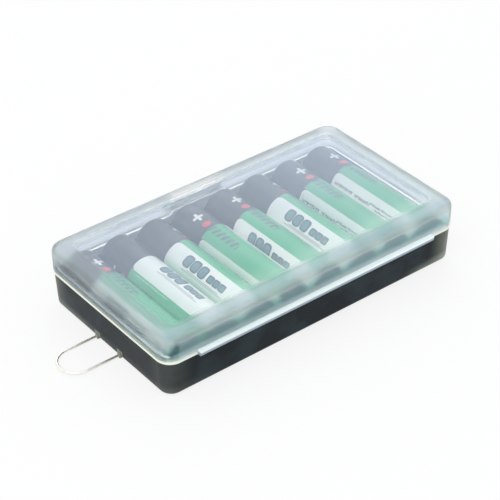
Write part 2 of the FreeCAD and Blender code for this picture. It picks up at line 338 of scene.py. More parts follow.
@dataclass(frozen=True)
class LidPlan:
    """Where the lid's parts lie: each span runs from where a mask is 0 to where it is 1. Millimetres."""

    seam: Seam = Seam()
    cloud_scale: float = 0.15
    grain_scale: float = 1.2
    pocket_half_x: float = 41.25
    pocket_half_y: float = 20.5
    pocket_corner: float = 2.5
    pocket_line: float = 0.08
    polish_x: float = 0.3
    polish_y: float = 0.5
    polish_soft: float = 1.6
    window_z: Span = (15.2, 15.7)
    plate_z: Span = (15.3, 15.9)
    edge_x: Span = (44.2, 45.6)
    edge_y: Span = (23.5, 24.9)
    wall_z: Span = (15.2, 14.4)
    lip_y: Span = (-25.25, -25.4)
    lip_top_z: Span = (10.6, 10.9)
    crest_outer_y: Span = (-26.55, -26.35)
    crest_inner_y: Span = (-25.7, -25.9)
    crest_z: Span = (10.9, 11.1)
    rim_rise: Span = (0.87, 0.63)
    lug_y: Span = (25.2, 25.7)
    root_x: float = -0.7
    root_width: Span = (8.6, 8.1)
    root_y: Span = (20.9, 21.4)
    root_z: Span = (12.2, 12.8)
    root_top_z: Span = (15.6, 14.8)
    front_y: Span = (-23.6, -24.2)
    front_left_x: Span = (20.0, -10.0)
    front_right_x: Span = (-35.0, 15.0)
    band_low_z: Span = (11.0, 12.2)
    band_high_z: Span = (14.8, 13.2)
    band_level: float = 0.4
    band_cloud: float = 0.9
    foot_z: Span = (12.8, 11.4)
    foot_right_x: Span = (-5.0, 25.0)
    border_y: Span = (-20.9, -22.6)
    border_level: float = 0.55
    border_from_x: Span = (2.0, 14.0)
    border_to_x: Span = (32.0, 24.0)
    frost_y: Span = (-17.0, -19.0)
    left_x: Span = (-44.0, -44.6)
    left_near_y: Span = (0.0, -14.0)
    far_y: Span = (23.6, 24.0)
    far_x: Span = (44.2, 44.6)
    near_y: Span = (-14.0, -20.0)
    near_x: Span = (-34.0, -26.0)
    rear_y: Span = (-14.0, 9.0)
    right_x: Span = (-15.0, 30.0)
    right_rear: Span = (0.0, 40.0)
    right_rear_slant: float = 0.5
    right_corner: Span = (50.0, 60.0)
    right_half: Span = (-20.0, 45.0)
    right_half_slant: float = 0.6

    def zones(self, shader: Shader, place: bpy.types.NodeSocket) -> LidZones:
        """Masks of the lid's parts.

        Args:
            shader: The lid's shader.
            place: Object coordinates in millimetres.

        Returns:
            The masks.
        """
        x, y, z = shader.axes(place)
        cloud = shader.noise(place, self.cloud_scale, detail=3.0)
        plate, wall = z.fades(*self.plate_z), z.fades(*self.wall_z)
        lip, lug = y.fades(*self.lip_y), y.fades(*self.lug_y)
        polish = self.pocket(x - self.polish_x, y - self.polish_y, self.polish_x, self.polish_y,
                             self.polish_soft)
        outer = self.pocket(x, y, self.pocket_line, self.pocket_line, self.pocket_line)
        inner = self.pocket(x, y, -self.pocket_line, -self.pocket_line, self.pocket_line)
        root = (abs(x - self.root_x).fades(*self.root_width) * y.fades(*self.root_y)
                * z.fades(*self.root_z) * (1 - lug))
        front = y.fades(*self.front_y) * wall
        # Painted glow towards the foot of the front wall.
        painted_foot_shading = z.fades(*self.foot_z)
        border_middle = x.fades(*self.border_from_x) * x.fades(*self.border_to_x)
        return LidZones(
            cloud=cloud,
            grain=shader.noise(place, self.grain_scale),
            window=polish * z.fades(*self.window_z),
            pocket_edge=(outer - inner).clamped() * plate,
            plate=plate,
            edge=abs(x).fades(*self.edge_x).at_least(abs(y).fades(*self.edge_y)) * plate,
            lip=lip,
            lip_top=lip * z.fades(*self.lip_top_z),
            lip_crest=y.fades(*self.crest_outer_y) * y.fades(*self.crest_inner_y) * z.fades(*self.crest_z),
            rim=self.seam.above(x, y, z).fades(*self.rim_rise) * (1 - lip),
            lug=lug,
            root=root,
            root_wall=root * z.fades(*self.root_top_z),
            front=front,
            front_left=front * x.fades(*self.front_left_x),
            front_right_lit=x.fades(*self.front_right_x),
            # Painted shade: a teal band across the front wall, for the cells' shaded ends behind it.
            front_band=(z.fades(*self.band_low_z) * z.fades(*self.band_high_z)
                        * (self.band_level + self.band_cloud * cloud).clamped()),
            front_foot=painted_foot_shading,
            foot_haze=front * painted_foot_shading,
            foot_haze_right=front * painted_foot_shading * x.fades(*self.foot_right_x),
            front_border=(y.fades(*self.border_y) * plate
                          * (self.border_level + (1 - self.border_level) * border_middle)),
            front_frost=plate * y.fades(*self.frost_y),
            left=x.fades(*self.left_x) * wall,
            left_near=y.fades(*self.left_near_y),
            far=(y.fades(*self.far_y) + x.fades(*self.far_x)).clamped() * wall,
            # The masks from here on lay painted light by side: brighter near the front left of the window
            # and towards the rear, the right and the right corner.
            near=y.fades(*self.near_y) * x.fades(*self.near_x),
            rear=y.fades(*self.rear_y),
            right=x.fades(*self.right_x),
            right_rear=(x + y * self.right_rear_slant).fades(*self.right_rear),
            right_corner=(x + y).fades(*self.right_corner) * plate,
            right_half=(x - y * self.right_half_slant).fades(*self.right_half),
        )

    def pocket(self, x: Signal, y: Signal, more_x: float, more_y: float, soft: float) -> Signal:
        """Mask of the window's pocket from above, made larger by a little each way."""
        return x.shader.block(x, y, self.pocket_half_x + more_x, self.pocket_half_y + more_y,
                              self.pocket_corner, soft)


@dataclass(frozen=True)
class FrostedPlastic:
    """Milky polypropylene of the lid: polished in the window, frosted round it, with a painted glow along
    the rim and painted light and shade tinting its sides.
    """

    plan: LidPlan = LidPlan()
    clear: Colour = (0.76, 0.81, 0.79)
    # Painted light and shade by side: lighter tints on the right half, the right corner and the front
    # wall's right, a darker one on the left wall that turns lighter towards its front.
    right_lit_clear: Colour = (0.90, 0.96, 0.93)
    corner_lit_clear: Colour = (0.84, 0.88, 0.87)
    # The front wall's teal tint and teal band stand in for the cells' ends in shade behind it: painted
    # shade.
    front_clear: Colour = (0.66, 0.93, 0.94)
    front_right_lit: Colour = (0.90, 1.0, 1.0)
    front_band: Colour = (0.56, 0.90, 0.88)
    left_shaded_clear: Colour = (0.46, 0.52, 0.57)
    left_near: Colour = (0.61, 0.71, 0.73)
    rear_clear: Colour = (0.75, 0.80, 0.84)
    milk: Colour = (0.72, 0.84, 1.0)
    # Painted glow: the bottom rim is laid bright, as if light came out of the plastic's edge.
    rim_painted_glow: Colour = (0.95, 0.97, 0.84)
    # Painted glow: the polished window is laid whiter near its front left edge.
    near_painted_glow: Colour = (0.80, 0.95, 1.0)
    border_milk: Colour = (0.25, 0.39, 0.50)
    border_share: float = 0.8
    # Painted glow: the front wall's milky share turns lighter towards its foot.
    front_milk: Colour = (0.50, 0.84, 0.90)
    foot_milk: Colour = (0.90, 0.96, 1.0)
    front_share: float = 0.9
    edge_milk: Colour = (0.60, 0.68, 0.65)
    edge_share: float = 0.8
    # Painted highlight: the lip's top, the hinge lug and the hinge root are laid bright.
    painted_highlight_milk: Colour = (0.95, 1.0, 1.0)
    # Painted shade on the lower part of the lip's front face.
    lip_painted_shade: Colour = (0.34, 0.42, 0.48)
    haze_level: float = 0.04
    haze: Shares = (("cloud", 0.08), ("grain", 0.03), ("plate", 0.08), ("edge", 0.10))
    clearer_front: float = 0.6
    clearer_left: float = 0.36
    haze_more: Shares = (("pocket_edge", 0.06), ("front_border", 0.24), ("foot_haze", 0.16),
                         ("foot_haze_right", 0.08))
    clearer_root: float = 0.7
    # Painted highlights: a heavy milky veil on the rim, the hinge lug, the lip and a line along the lip's
    # crest.
    veil: Shares = (("rim", 0.85), ("lug", 0.9), ("lip", 0.66), ("lip_crest", 0.34))
    rough_level: float = 0.28
    rough: Shares = (("cloud", 0.12), ("front_frost", 0.16))
    # Painted light: the window's milky film thickens towards the rear, the right and the front left, so
    # these parts are laid brighter.
    film_level: float = 0.115
    film: Shares = (("rear", 0.05), ("right", 0.045), ("cloud", 0.05), ("right_rear", 0.02), ("near", 0.07))
    root_polish: float = 0.8

    def tint(self, shader: Shader, zones: LidZones) -> bpy.types.NodeSocket:
        """Colour that the plastic gives to what is seen through it, with painted light and shade: lighter
        on the right half, the right corner, the front wall's right and the hinge root, darker on the left
        wall, and teal on the front wall as painted shade of the cells' ends behind it.

        Args:
            shader: The lid's shader.
            zones: The masks.

        Returns:
            The colour's socket.
        """
        left = shader.blend(zones.left_near, self.left_shaded_clear, self.left_near)
        front = shader.layered(self.front_clear, (zones.front_right_lit, self.front_right_lit),
                               (zones.front_band, self.front_band))
        return shader.layered(self.clear, (zones.right_half, self.right_lit_clear),
                              (zones.far, self.rear_clear), (zones.right_corner, self.corner_lit_clear),
                              (zones.root, WHITE), (zones.left, left), (zones.front, front))

    def milk_colour(self, shader: Shader, zones: LidZones) -> bpy.types.NodeSocket:
        """Colour of the milky share of the plastic, with painted light and shade: bright on the lip's top,
        the hinge lug and the hinge root, darker on the lip's foot, bright along the rim and lighter at the
        front wall's foot.

        Args:
            shader: The lid's shader.
            zones: The masks.

        Returns:
            The colour's socket.
        """
        front = shader.blend(zones.front_foot, self.front_milk, self.foot_milk)
        # Painted highlight on the lip's top, the hinge lug and the hinge root.
        painted_highlight = (zones.lip_top + zones.lug + zones.root).clamped()
        return shader.layered(self.milk, (zones.front_border * self.border_share, self.border_milk),
                              (zones.edge * self.edge_share, self.edge_milk),
                              (zones.front * self.front_share, front), (painted_highlight, self.painted_highlight_milk),
                              (zones.lip - zones.lip_top, self.lip_painted_shade), (zones.rim, self.rim_painted_glow))

    def material(self) -> bpy.types.Material:
        """Builds the lid's plastic.

        Returns:
            The material.
        """
        shader, material = Shader.of_material("frosted_plastic")
        zones = self.plan.zones(shader, shader.place())
        normal = shader.bump(zones.cloud, depth=0.02, strength=0.2)
        # Painted light and shade: the haze is thinner on the front left and on the left wall, laid darker
        # there, and thicker at the front wall's foot and its right, laid lighter there.
        clearer = (zones.front_left * self.clearer_front).at_least(zones.left * self.clearer_left)
        haze = zones.total(self.haze_level, self.haze) * (1 - clearer) + zones.total(0.0, self.haze_more)
        veil = haze * (1 - self.clearer_root * zones.root) + zones.total(0.0, self.veil)
        clear = shader.surface(Base_Color=self.tint(shader, zones),
                               Roughness=zones.total(self.rough_level, self.rough), IOR=1.22,
                               Transmission_Weight=1.0, Coat_Weight=0.25, Coat_Roughness=0.12,
                               Normal=normal)
        body = shader.surface(Base_Color=self.milk_colour(shader, zones), Roughness=0.35, IOR=1.46,
                              Normal=normal)
        frosted = shader.blend_surfaces(veil.clamped(), clear, body)
        polished = shader.surface(Base_Color=shader.blend(zones.near, self.milk, self.near_painted_glow),
                                  Roughness=0.12, IOR=1.46,
                                  Alpha=zones.total(self.film_level, self.film).clamped())
        # The hinge root is polished, tinted white and less hazed: a painted highlight standing in for a
        # bright band behind the rear wall.
        share = zones.window.at_least(self.root_polish * zones.root_wall)
        shader.finish(shader.blend_surfaces(share, frosted, polished))
        return material


@dataclass(frozen=True)
class SmokePlastic:
    """Smoke-tinted moulded plastic of the tray: nearly black, with painted light on its corners, ends and
    wire bosses and a painted highlight along its raised tongue and the top of its inner walls.
    """

    seam: Seam = Seam()
    half_x: float = 45.85
    half_y: float = 25.1
    wall: float = 1.4
    inner_corner: float = 2.0
    flow_stretch: Triple = (0.05, 0.6, 0.9)
    blotch_at: Triple = (3.0, 0.0, 5.0)
    blotch: Span = (0.42, 0.68)
    corner_reach: float = 9.0
    corner_level: float = 0.2
    corner_cloud: float = 0.9
    foot_reach: float = 22.0
    foot_z: Span = (3.5, 0.3)
    foot_cloud: float = 1.4
    right_x: Span = (-30.0, 40.0)
    right_light: float = 0.88
    rear_y: Span = (0.0, 20.0)
    rear_light: float = 0.55
    least_light: float = 0.25
    shoulder_z: Span = (8.7, 9.9)
    shoulder_y: Span = (-24.2, -24.7)
    shoulder_x: Span = (37.5, 35.5)
    boss_y: float = 4.75
    boss_x: Span = (-45.15, -45.35)
    boss_z: Span = (2.6, 1.9)
    boss_width: Span = (1.4, 0.9)
    boss_share: float = 0.8
    inside_z: Span = (7.9, 9.1)
    front_y: Span = (-22.6, -23.4)
    tongue_rise: Span = (0.0, 0.12)
    tongue_edge_rise: Span = (0.10, 0.30)
    tongue_shine_rise: Span = (0.30, 0.50)
    tint: Colour = (0.0045, 0.0105, 0.0155)
    teal: Colour = (0.016, 0.030, 0.038)
    thin: Colour = (0.34, 0.37, 0.31)
    # Painted highlight along the tray's front top edge under the lid's lip.
    shoulder_highlight: Colour = (0.12, 0.15, 0.17)
    # Painted highlight: the raised tongue behind the hinge and the top of the inner walls are laid pale and
    # white on a black tray, dimmer at the front, and their edge is made metallic to shine.
    painted_highlight_tongue: Colour = (0.85, 0.90, 0.90)
    tongue_edge_highlight: Colour = WHITE
    tongue_front: Colour = (0.34, 0.41, 0.43)

    def smoke(self, shader: Shader, place: bpy.types.NodeSocket, cloud: Signal) -> bpy.types.NodeSocket:
        """Colour of the smoke plastic, with painted light: lighter olive corners and ends, stronger towards
        the right and the rear, a painted highlight along the front shoulder under the lip, and lighter wire
        bosses where shade falls.

        Args:
            shader: The tray's shader.
            place: Object coordinates in millimetres.
            cloud: Soft variation of the plastic.

        Returns:
            The colour's socket.
        """
        x, y, z = shader.axes(place)
        blotch = shader.noise(shader.place(shift=self.blotch_at), 0.11).fades(*self.blotch)
        # Painted light: the corners and the lower ends are laid lighter olive, more on the right and at the
        # rear, as if light shone through the plastic there.
        corner = (abs(x).fades(self.half_x - self.corner_reach, self.half_x)
                  * abs(y).fades(self.half_y - self.corner_reach, self.half_y))
        painted_foot_shading = z.fades(*self.foot_z) * abs(x).fades(self.half_x - self.foot_reach, self.half_x)
        light = corner * (self.corner_level + self.corner_cloud * cloud) + painted_foot_shading * cloud * self.foot_cloud
        side = self.right_light * x.fades(*self.right_x) + self.rear_light * y.fades(*self.rear_y)
        # Painted highlight along the tray's front top edge under the lid's lip.
        shoulder_highlight = z.fades(*self.shoulder_z) * y.fades(*self.shoulder_y) * abs(x).fades(*self.shoulder_x)
        # Painted light on the wire bosses, which lie in shade.
        boss = (x.fades(*self.boss_x) * z.fades(*self.boss_z)
                * abs(abs(y) - self.boss_y).fades(*self.boss_width))
        light = (light * (self.least_light + side)).clamped()
        return shader.layered(self.tint, (blotch, self.teal), (light, self.thin),
                              (shoulder_highlight, self.shoulder_highlight), (boss * self.boss_share, self.thin))

    def material(self) -> bpy.types.Material:
        """Builds the tray's plastic.

        Returns:
            The material.
        """
        shader, material = Shader.of_material("smoke_plastic")
        place = shader.place()
        x, y, z = shader.axes(place)
        cloud = shader.noise(place, 0.16, detail=3.0, rough=0.6)
        flow = shader.noise(shader.place(scale=self.flow_stretch), 1.0, detail=3.0, rough=0.6)
        grain = shader.noise(place, 3.0)
        rough = 0.24 + 0.14 * cloud + 0.08 * grain
        normal = shader.bump(grain * 0.7 + flow * 0.5, depth=0.015, strength=0.3)
        body = shader.surface(Base_Color=self.smoke(shader, place, cloud), Roughness=rough, IOR=1.5,
                              Specular_IOR_Level=0.1, Transmission_Weight=0.12, Normal=normal)
        rise = self.seam.above(x, y, z)
        inside = shader.block(x, y, self.half_x - self.wall, self.half_y - self.wall,
                              self.inner_corner, soft=0.1)
        # Painted highlight: pale and white on the tongue and on the tops of the inner walls, dimmer at the
        # front.
        pale = (rise.fades(*self.tongue_rise) + inside * z.fades(*self.inside_z)).clamped()
        front = y.fades(*self.front_y)
        colour = shader.layered(self.painted_highlight_tongue, (rise.fades(*self.tongue_edge_rise), self.tongue_edge_highlight),
                                (front, self.tongue_front))
        painted_highlight_tongue = shader.surface(Base_Color=colour,
                                Metallic=rise.fades(*self.tongue_shine_rise) * (1 - front),
                                Roughness=rough, IOR=1.3, Transmission_Weight=0.3, Normal=normal)
        shader.finish(shader.blend_surfaces(pale, body, painted_highlight_tongue))
        return material


@dataclass(frozen=True)
class SleevePlace:
    """Where a point lies on the sleeve: distances round it are millimetres of arc."""

    y: Signal
    half: Signal
    whole: Signal
    arc: float

    def across(self, middle: float) -> Signal:
        """Distance round the sleeve from a line at an angle in degrees."""
        return (self.whole - middle).wrapped(-180, 180) * self.arc


@dataclass(frozen=True)
class Mark:
    """A rounded rectangle of print: where its centre lies, half its size, its corner and its edge."""

    across: float
    along: float
    half_across: float
    half_along: float
    corner: float = 0.1
    soft: float = 0.1

    def mask(self, across: Signal, along: Signal) -> Signal:
        """1 on the mark, 0 off it."""
        return across.shader.block(across - self.across, along - self.along, self.half_across,
                                   self.half_along, self.corner, self.soft)


@dataclass(frozen=True)
class PrintedSleeve:
    """Printed shrink sleeve of a cell: dark end, two green and two white panels, plain marks on them.

    Its UV map holds the angle from the middle of a green panel in U, in turns, and the place along the
    cell in V, in millimetres over PRINT_SPAN plus a half. Angles are degrees, lengths millimetres.
    """

    radius: float = CELL_RADIUS
    band_y: float = 9.7
    green_half: float = 42.0
    print_edge: float = 0.06
    panel_half: float = 48.0
    panel_end: float = 5.0
    panel_corner: float = 1.3
    panel_from_y: Span = (-1.0, 0.0)
    blocks_middle: float = -73.0
    rules_middle: float = -101.0
    fine_middle: float = 107.0
    plus_bar: Mark = Mark(0.0, 15.4, 1.55, 0.42, 0.12, 0.12)
    plus_post: Mark = Mark(0.0, 15.4, 0.42, 1.55, 0.12, 0.12)
    hatch_field: Mark = Mark(0.0, 4.2, 1.2, 5.8, 0.5, 0.2)
    hatch_slant: float = 0.35
    hatch_half: float = 0.92
    hatch_stroke: Span = (0.66, 0.50)
    hatch_middle: float = 0.2
    hatch_middle_line: Span = (0.34, 0.2)
    hatch_middle_share: float = 0.55
    hatch_share: float = 0.8
    large_row: Mark = Mark(0.0, -0.7, 2.4, 4.5)
    large_half: float = 1.5
    large: Mark = Mark(0.0, 0.0, 1.75, 1.44, 1.05, 0.14)
    large_filling: Mark = Mark(0.0, 0.0, 1.28, 0.98, 0.75, 0.30)
    large_hole: Mark = Mark(0.0, 0.0, 0.42, 0.16, 0.1, 0.2)
    large_hole_edge: Span = (1.4, 0.2)
    small_row: Mark = Mark(0.0, -9.3, 2.4, 3.4)
    small_half: float = 1.14
    small: Mark = Mark(-0.35, 0.0, 1.05, 1.10, 0.5, 0.14)
    small_filling: Mark = Mark(-0.35, 0.0, 0.66, 0.70, 0.3, 0.25)
    long_rule: Mark = Mark(0.0, -5.0, 0.10, 8.0, 0.05)
    short_rule: Mark = Mark(0.42, -5.0, 0.10, 6.4, 0.05)
    rule_share: float = 0.7
    fine_rows: tuple[Mark, ...] = (Mark(-0.05, 5.1, 0.42, 3.4), Mark(-0.05, -2.1, 0.42, 2.9),
                                   Mark(-0.5, -12.2, 0.26, 4.8))
    fine_speck: Span = (0.44, 0.48)
    finest_row: Mark = Mark(0.4, -11.1, 0.30, 6.1)
    finest_speck: Span = (0.46, 0.50)
    flecks: Mark = Mark(0.0, 0.9, 0.16, 6.7)
    flecks_middle: float = 35.0
    flecks_speck: Span = (0.55, 0.48)
    flecks_share: float = 0.6
    dot: Mark = Mark(0.0, 11.7, 1.25, 0.90, 0.8, 0.3)
    # Painted shade: the sleeve's front end is darkened to teal, more on the green panels than on the white.
    foot_y: Span = (-20.6, -21.5)
    foot_on_white: float = 0.3
    foot_on_green: float = 0.6
    green: Colour = (0.03, 0.50, 0.205)
    white: Colour = (0.98, 1.0, 0.93)
    navy: Colour = (0.012, 0.013, 0.022)
    outline: Colour = (0.045, 0.10, 0.125)
    ink: Colour = (0.12, 0.28, 0.29)
    grey: Colour = (0.035, 0.11, 0.11)
    red: Colour = (0.85, 0.03, 0.03)
    painted_foot_shading: Colour = (0.01, 0.10, 0.12)
    dust: Colour = (0.5, 0.5, 0.5)

    def place(self, shader: Shader) -> SleevePlace:
        """Where each point lies on the sleeve, read from its UV map.

        Args:
            shader: The sleeve's shader.

        Returns:
            The place.
        """
        seat = shader.node("ShaderNodeUVMap", {"uv_map": "sleeve_turn"})
        turns, along, _ = shader.axes(seat.outputs["UV"])
        arc = math.radians(1) * self.radius
        turn = turns * FULL_TURN
        return SleevePlace(y=(along - 0.5) * PRINT_SPAN, half=turn.wrapped(-90, 90) * arc,
                           whole=turn.wrapped(-180, 180), arc=arc)

    def dark_end(self, place: SleevePlace, white: Signal) -> Signal:
        """Mask of the dark end, which runs on between the rounded white panel and the green one."""
        panel = white.shader.block(abs(place.half) - 90 * place.arc, place.y + self.panel_end,
                                   self.panel_half * place.arc, self.panel_end + self.band_y,
                                   self.panel_corner, 2 * self.print_edge)
        return (place.y.fades(self.band_y - self.print_edge, self.band_y + self.print_edge)
                + white * place.y.fades(*self.panel_from_y) * (1 - panel)).clamped()

    def plus(self, place: SleevePlace) -> Signal:
        """Mask of the plus sign on the dark end."""
        bar = self.plus_bar.mask(place.half, place.y)
        return bar.at_least(self.plus_post.mask(place.half, place.y))

    def hatch(self, place: SleevePlace) -> Signal:
        """Mask of the slanted hatch on the green panel, with a faint line through its middle.

        Args:
            place: Where a point lies.

        Returns:
            The mask.
        """
        slant = (place.y + place.half * self.hatch_slant).wrapped(-self.hatch_half, self.hatch_half)
        line = abs(place.half - self.hatch_middle).fades(*self.hatch_middle_line)
        strokes = abs(slant).fades(*self.hatch_stroke).at_least(self.hatch_middle_share * line)
        return self.hatch_field.mask(place.half, place.y) * strokes

    def blocks(self, place: SleevePlace) -> tuple[Signal, Signal]:
        """Three large and three small rounded blocks on a white panel.

        Args:
            place: Where a point lies.

        Returns:
            The masks of the blocks with their outline, and of their filling.
        """
        across = place.across(self.blocks_middle)
        y = (place.y - self.large_row.along).wrapped(-self.large_half, self.large_half)
        row = self.large_row.mask(across, place.y)
        large = self.large.mask(across, y) * row
        hole = self.large_hole.mask(across, y)
        large_filling = self.large_filling.mask(across, y) * hole.fades(*self.large_hole_edge) * row
        y = (place.y - self.small_row.along).wrapped(-self.small_half, self.small_half)
        row = self.small_row.mask(across, place.y)
        small = self.small.mask(across, y) * row
        small_filling = self.small_filling.mask(across, y) * row
        return large.at_least(small), large_filling.at_least(small_filling)

    def rules(self, place: SleevePlace) -> Signal:
        """Mask of the two thin lines beside the blocks."""
        across = place.across(self.rules_middle)
        return self.long_rule.mask(across, place.y) + self.short_rule.mask(across, place.y)

    def fine_print(self, place: SleevePlace, speck: Signal) -> Signal:
        """Mask of the rows of fine marks on the other white panel.

        Args:
            place: Where a point lies.
            speck: Fine random variation.

        Returns:
            The mask.
        """
        across, shader = place.across(self.fine_middle), speck.shader
        strokes = shader.noise(shader.flat(across * 0.6, place.y), 3.4, detail=0.0)
        rows = sum(row.mask(across, place.y) for row in self.fine_rows)
        finest = self.finest_row.mask(across, place.y)
        return rows * strokes.fades(*self.fine_speck) + finest * speck.fades(*self.finest_speck)

    def print_colour(self, shader: Shader, place: SleevePlace) -> bpy.types.NodeSocket:
        """Colour of the whole print.

        Args:
            shader: The sleeve's shader.
            place: Where a point lies.

        Returns:
            The colour's socket.
        """
        edge = self.green_half * place.arc
        green = abs(place.half).fades(edge + self.print_edge, edge - self.print_edge)
        dark = self.dark_end(place, 1 - green)
        on_white = (1 - green) * (1 - dark)
        speck = shader.noise(shader.flat(place.across(self.fine_middle), place.y), 2.6, detail=1.0)
        blocks, filling = self.blocks(place)
        lines = self.rules(place) * self.rule_share + self.fine_print(place, speck)
        flecks = (self.flecks.mask(place.half - self.flecks_middle * place.arc, place.y)
                  * speck.fades(*self.flecks_speck) * self.flecks_share)
        # Painted shade on the sleeve's front end.
        painted_foot_shading = place.y.fades(*self.foot_y) * (self.foot_on_white + self.foot_on_green * green)
        return shader.layered(
            self.white,
            (green, self.green),
            (dark, self.navy),
            (self.hatch(place) * self.hatch_share * (1 - dark), self.grey),
            (blocks * on_white, self.outline),
            (filling * on_white, self.ink),
            ((lines * on_white).clamped(), self.outline),
            (flecks * green, self.white),
            (self.plus(place) * dark, self.white),
            (self.dot.mask(place.half, place.y), self.red),
            (painted_foot_shading, self.painted_foot_shading),
        )

    def material(self) -> bpy.types.Material:
        """Builds the sleeve's print.

        Returns:
            The material.
        """
        shader, material = Shader.of_material("printed_sleeve")
        colour = self.print_colour(shader, self.place(shader))
        mottled = shader.noise(shader.place(), 0.6, detail=3.0, rough=0.6)
        fine = shader.noise(shader.place(), 14.0, rough=0.6)
        colour = shader.blend((mottled - 0.5).clamped() * 0.2, colour, self.dust)
        rough = 0.22 + 0.12 * mottled + 0.05 * fine
        normal = shader.bump(mottled, depth=0.02, strength=0.25)
        shader.finish(shader.surface(Base_Color=colour, Roughness=rough, IOR=1.5, Coat_Weight=0.25,
                                     Coat_Roughness=0.12, Normal=normal))
        return material


@dataclass(frozen=True)
class Metal:
    """Bare or plated metal with fine lines and small variations."""

    name: str
    colour: Colour
    worn: Colour
    rough: float
    stretch: Triple = (1.0, 1.0, 1.0)
    sheen: float = 1.0

    def material(self) -> bpy.types.Material:
        """Builds the metal.

        Returns:
            The material.
        """
        shader, material = Shader.of_material(self.name)
        lines = shader.noise(shader.place(scale=self.stretch), 3.0, detail=3.0, rough=0.6)
        patches = shader.noise(shader.place(), 0.5, detail=3.0, rough=0.6)
        colour = shader.blend(patches.fades(0.35, 0.75), self.colour, self.worn)
        rough = self.rough + 0.10 * lines + 0.10 * patches
        normal = shader.bump(lines, depth=0.01, strength=0.3)
        shader.finish(shader.surface(Base_Color=colour, Metallic=self.sheen, Roughness=rough,
                                     Normal=normal))
        return material


@dataclass(frozen=True)
class WasherCard:
    """Fibre card of the insulating ring under the button."""

    colour: Colour = (0.75, 0.74, 0.70)
    fibre: Colour = (0.45, 0.44, 0.41)
    fibre_stretch: Triple = (1.0, 0.3, 4.0)

    def material(self) -> bpy.types.Material:
        """Builds the card.

        Returns:
            The material.
        """
        shader, material = Shader.of_material("washer_card")
        fibres = shader.noise(shader.place(scale=self.fibre_stretch), 2.0, detail=4.0, rough=0.7)
        colour = shader.blend(fibres.fades(0.4, 0.7), self.colour, self.fibre)
        normal = shader.bump(fibres, depth=0.02, strength=0.5)
        shader.finish(shader.surface(Base_Color=colour, Roughness=0.8 + 0.1 * fibres, Normal=normal))
        return material


def dress(node: str, material: bpy.types.Material) -> None:
    """Gives a CAD node its finish.

    Args:
        node: Name of the node.
        material: Its finish.
    """
    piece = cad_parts[node]
    if not piece.material_slots:
        piece.data.materials.append(material)
    for slot in piece.material_slots:
        slot.material = material
    LOG.info("%s dressed in %s", node, material.name)


def direction(azimuth: float, elevation: float) -> Vector:
    """Unit vector from the case, its azimuth in degrees from the front and turning to the right."""
    turn, rise = math.radians(azimuth), math.radians(elevation)
    return Vector((math.sin(turn) * math.cos(rise), -math.cos(turn) * math.cos(rise), math.sin(rise)))


@dataclass(frozen=True)
class Lamp:
    """A soft square lamp that faces the case. Degrees and metres.

    Its level is the light that it sends onto a surface which faces it, where 1 shows white as white.
    """

    name: str
    azimuth: float
    elevation: float
    size: float
    level: float
    away: float = 0.9

    def add(self) -> None:
        """Adds the lamp to the scene."""
        data = bpy.data.lights.new(self.name, "AREA")
        data.size = self.size
        data.energy = self.level * math.pi ** 2 * self.away ** 2
        lamp = bpy.data.objects.new(self.name, data)
        bpy.context.scene.collection.objects.link(lamp)
        way = direction(self.azimuth, self.elevation)
        lamp.location = way * self.away
        lamp.rotation_mode = "QUATERNION"
        lamp.rotation_quaternion = (-way).to_track_quat("-Z", "Y")


